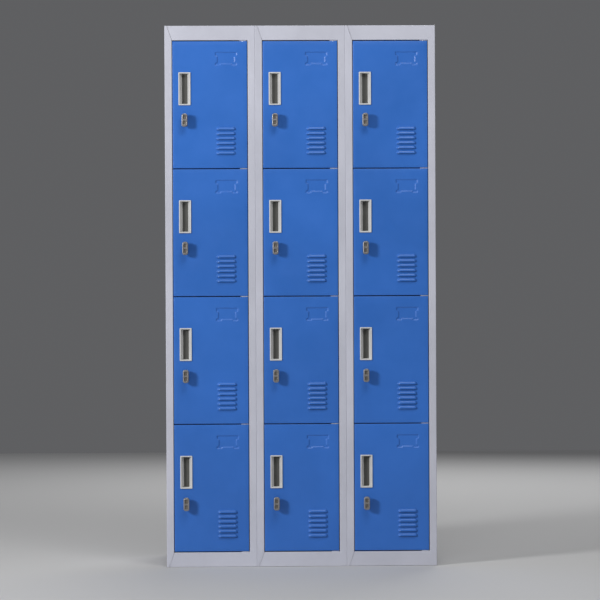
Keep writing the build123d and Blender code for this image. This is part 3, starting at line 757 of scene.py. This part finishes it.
def cut_corner_loop(half_width, half_length, cut, soft, depth, steps=3):
    """Outline of the knob: a rectangle with its corners cut at 45 degrees and every turn softened."""
    corners = []
    for side_x, side_z in ((1, 1), (-1, 1), (-1, -1), (1, -1)):
        long_first = side_x * side_z > 0
        near_side = (side_x * half_width, side_z * (half_length - cut))
        near_end = (side_x * (half_width - cut), side_z * half_length)
        corners += [near_side, near_end] if long_first else [near_end, near_side]
    loop = []
    for k, corner in enumerate(corners):
        before, after = Vector(corners[k - 1]), Vector(corners[(k + 1) % len(corners)])
        here = Vector(corner)
        start = here + (before - here).normalized() * soft
        end = here + (after - here).normalized() * soft
        for step in range(steps + 1):
            t = step / steps
            place = start * (1 - t) ** 2 + here * 2 * t * (1 - t) + end * t**2
            loop.append((LATCH_X + place.x, depth, LATCH_Z + place.y))
    return loop


def filled_between(outline, holes):
    """Triangles that fill a flat outline round its holes, as (points, faces)."""
    work = bmesh.new()
    points = []
    edges = []
    for loop in [outline] + holes:
        points += loop
        verts = [work.verts.new(point) for point in loop]
        edges += [work.edges.new((verts[k], verts[(k + 1) % len(loop)])) for k in range(len(loop))]
        work.verts.index_update()
    bmesh.ops.triangle_fill(work, use_beauty=True, edges=edges)
    work.verts.index_update()
    faces = [tuple(vertex.index for vertex in face.verts) for face in work.faces]
    work.free()
    return points, faces


def knob_head():
    """Cast head: drafted sides, soft front edge, two sunk windows with a bar between them."""
    back = KNOB_FRONT + KNOB_DEPTH
    # Each row is (inset from the outline, depth), from the back to the front.
    rows = [
        (0.5, back),
        (0.0, back - 0.5),
        (0.0, back - 2.0),
        (0.25, KNOB_FRONT + 2.6),
        (0.5, KNOB_FRONT + 1.3),
        (1.0, KNOB_FRONT + 0.5),
        (1.7, KNOB_FRONT + 0.1),
        (2.3, KNOB_FRONT),
    ]
    loops = []
    for inset, depth in rows:
        half_width, half_length = KNOB_HALF_WIDTH - inset, KNOB_HALF_LENGTH - inset
        loops.append(cut_corner_loop(half_width, half_length, KNOB_CUT - 0.4 * inset, KNOB_SOFT, depth))
    side_points, side_faces = tube_of_loops(loops)
    side_faces.append(tuple(reversed(range(len(loops[0])))))
    shells = [(side_points, side_faces)]
    mouths = []
    # Each row is (inset from the mouth, depth below the front), down into a window.
    window_rows = [
        (0.0, 0.0),
        (0.25, 0.12),
        (0.45, 0.5),
        (0.7, WINDOW_DEPTH - 0.4),
        (1.0, WINDOW_DEPTH),
    ]
    for side in (-1, 1):
        middle_z = LATCH_Z + side * WINDOW_RISE
        window_loops = [
            rounded_loop(
                LATCH_X,
                middle_z,
                WINDOW_HALF_WIDTH - inset,
                WINDOW_HALF_HEIGHT - inset,
                2.0 - 0.5 * inset,
                KNOB_FRONT + sink,
                steps=4,
            )
            for inset, sink in window_rows
        ]
        pocket_points, pocket_faces = tube_of_loops(window_loops)
        last = (len(window_loops) - 1) * len(window_loops[0])
        pocket_faces.append(tuple(last + k for k in range(len(window_loops[0]))))
        shells.append((pocket_points, pocket_faces))
        mouths.append(window_loops[0])
    shells.append(filled_between(loops[-1], mouths))
    return joined(*shells)


def lathe(profile, count=32):
    """A closed turned shell about the latch axis from (radius, depth) pairs."""
    loops = [round_loop(LATCH_X, LATCH_Z, radius, depth, count) for radius, depth in profile]
    return tube_of_loops(loops, cap=True)


def drilled_rotor():
    """Rotor with its padlock hole, which a quarter turn brings in line with the collar's hole."""
    edge = 0.4
    start = KNOB_FRONT + KNOB_DEPTH
    rotor = lathe([
        (ROTOR_RADIUS - edge, start + ROTOR_GAP),
        (ROTOR_RADIUS, start + edge),
        (ROTOR_RADIUS, ROTOR_END - edge),
        (ROTOR_RADIUS - edge, ROTOR_END),
    ])
    low, high = LATCH_Z - PADLOCK_HOLE_REACH, LATCH_Z + PADLOCK_HOLE_REACH
    hole = upright_cylinder(LATCH_X, PADLOCK_HOLE_DEPTH, PADLOCK_HOLE_RADIUS, low, high)
    mesh = without(with_clean_normals(scaled_mesh("rotor", *rotor)), hole)
    points = [tuple(vertex.co / MM) for vertex in mesh.vertices]
    return points, [tuple(face.vertices) for face in mesh.polygons]


def prism(outline, front, back, edge=0.3):
    """A closed plate between two depths with its edges broken. The outline is a list of (x, z)."""
    middle_x = sum(x for x, z in outline) / len(outline)
    middle_z = sum(z for x, z in outline) / len(outline)
    reach = max(math.hypot(x - middle_x, z - middle_z) for x, z in outline)
    loops = []
    for depth, inset in ((front, edge), (front + edge, 0.0), (back - edge, 0.0), (back, edge)):
        scale = 1 - inset / reach
        loop = [(middle_x + (x - middle_x) * scale, middle_z + (z - middle_z) * scale)
                for x, z in outline]
        loops.append([(x, depth, z) for x, z in loop])
    return tube_of_loops(loops, cap=True)


def cam_outline():
    """Round-ended cam plate that hangs down from the latch axis at rest."""
    half = CAM_HALF_WIDTH
    steps = 12
    outline = []
    for start, middle_z in ((0.0, LATCH_Z), (math.pi, LATCH_Z - CAM_REACH + half)):
        for step in range(steps + 1):
            angle = start + math.pi * step / steps
            outline.append((LATCH_X + half * math.cos(angle), middle_z + half * math.sin(angle)))
    return outline


def latch_knob_mesh():
    """Everything that turns in a latch: head and rotor, cam, and the screw that holds the cam."""
    head = knob_head()
    rotor = drilled_rotor()
    cam = prism(cam_outline(), CAM_FRONT, CAM_FRONT + CAM_THICKNESS)
    screw_front = LATCH_BACK - SCREW_HEAD
    screw = lathe(
        [
            (3.6, screw_front),
            (4.0, screw_front + 0.3),
            (4.0, LATCH_BACK - 1.0),
            (3.6, LATCH_BACK - 0.3),
            (2.6, LATCH_BACK),
            (1.5, LATCH_BACK),
            (1.4, LATCH_BACK - 1.4),
        ],
        24,
    )
    mesh = scaled_mesh("latch_knob", *joined(head, rotor, cam, screw))
    mesh = with_clean_normals(mesh, 32)
    for face in mesh.polygons:
        x, depth, z = face.center / MM
        across, rise = abs(x - LATCH_X), abs(z - LATCH_Z) - WINDOW_RISE
        below_front = depth - KNOB_FRONT
        in_outline = across < WINDOW_HALF_WIDTH and abs(rise) < WINDOW_HALF_HEIGHT
        if depth > CAM_FRONT:
            face.material_index = 1
        # Window floors get the third slot, a darker colour that is painted shade in the recesses.
        elif in_outline and WINDOW_SILL < below_front < WINDOW_DEPTH + WINDOW_SILL:
            face.material_index = 2
    return mesh


# ---------------------------------------------------------------- pieces

place_on_doors("leaf_", door_leaf_mesh(), [finishes["door_paint"]], "door_leaf_", "door_")
place_on_doors(
    "inset_pull_",
    pull_mesh(),
    [finishes["pull_plastic"], finishes["pull_floor"]],
    "door_leaf_",
    "pull_",
)
place_on_doors(
    "knob_",
    latch_knob_mesh(),
    [finishes["cast_zinc"], finishes["plated_steel"], finishes["knob_window"]],
    "latch_",
    "latch_knob_",
)

slots = {entry["node"]: entry["material_slot"] for entry in frame["record"]["subparts"]}
for name, node in frame["nodes"].items():
    node.data.materials.clear()
    node.data.materials.append(finishes[slots[name]])


# ---------------------------------------------------------------- stage


FLOOR_SIZE = 12.0
FLOOR_DROP = 0.0005
CAMERA_DISTANCE = 10.0
CAMERA_X = -0.257
CAMERA_Z = 0.996
CAMERA_LENS = 180.35
CAMERA_TO_RIGHT = 1.453
CAMERA_UP = -0.623
CAMERA_ROLL = -0.263


def stage_material(name, colour):
    """A plain matt material."""
    material, _, _, shader = new_material(name)
    shader.inputs["Base Color"].default_value = colour
    shader.inputs["Roughness"].default_value = 0.9
    return material


def build_floor():
    """A plain pale floor."""
    mesh = bpy.data.meshes.new("floor")
    half = FLOOR_SIZE / 2
    corners = [(-half, -half, 0), (half, -half, 0), (half, half, 0), (-half, half, 0)]
    mesh.from_pydata(corners, [], [(0, 1, 2, 3)])
    floor = bpy.data.objects.new("floor", mesh)
    floor.location.z = -FLOOR_DROP
    mesh.materials.append(stage_material("pale_floor", (0.58, 0.58, 0.58, 1)))
    bpy.context.scene.collection.objects.link(floor)


def area_light(name, place, target, width, height, watts, colour=(1, 1, 1)):
    """A soft rectangular light that faces a target."""
    data = bpy.data.lights.new(name, "AREA")
    data.shape = "RECTANGLE"
    data.size = width
    data.size_y = height
    data.energy = watts
    data.color = colour
    light = bpy.data.objects.new(name, data)
    light.location = place
    light.rotation_euler = (Vector(target) - Vector(place)).to_track_quat("-Z", "Y").to_euler()
    bpy.context.scene.collection.objects.link(light)


def build_lights():
    """Key from the left, two lights high in front, and soft fills from the right and from behind."""
    area_light("key", (-4.5, -4.1, 2.45), (0, -0.2, 1.2), 1.1, 1.1, 258)
    area_light("overhead", (0.4, -2.0, 3.35), (0.2, -0.2, 1.0), 0.6, 0.6, 7)
    area_light("fill", (0.5, -2.8, 4.0), (0.1, 0, 1.2), 2.4, 1.6, 50)
    area_light("right_fill", (4.0, -3.0, 2.6), (0, 0, 1.2), 3.0, 3.0, 12)
    area_light("back_fill", (1.0, 4.5, 3.0), (0, 0, 1.0), 3.0, 2.0, 90)
    world = bpy.data.worlds.new("studio")
    bpy.context.scene.world = world
    world.use_nodes = True
    world.node_tree.nodes["Background"].inputs["Color"].default_value = (0.95, 0.96, 1.0, 1)
    world.node_tree.nodes["Background"].inputs["Strength"].default_value = 0.12


def build_camera():
    """A long lens square to the doors, turned and rolled a little, as a tripod left by hand."""
    data = bpy.data.cameras.new("camera")
    data.sensor_width = 36.0
    data.lens = CAMERA_LENS
    camera = bpy.data.objects.new("camera", data)
    camera.location = (CAMERA_X, front_face - CAMERA_DISTANCE, CAMERA_Z)
    to_right, up, roll = map(math.radians, (CAMERA_TO_RIGHT, CAMERA_UP, CAMERA_ROLL))
    aim = Vector((math.sin(to_right) * math.cos(up), math.cos(to_right) * math.cos(up), math.sin(up)))
    turn = aim.to_track_quat("-Z", "Y").to_matrix()
    camera.rotation_euler = (turn @ Matrix.Rotation(roll, 3, "Z")).to_euler()
    bpy.context.scene.collection.objects.link(camera)
    bpy.context.scene.camera = camera


build_floor()
build_lights()
build_camera()
bpy.context.scene.view_settings.view_transform = "Standard"
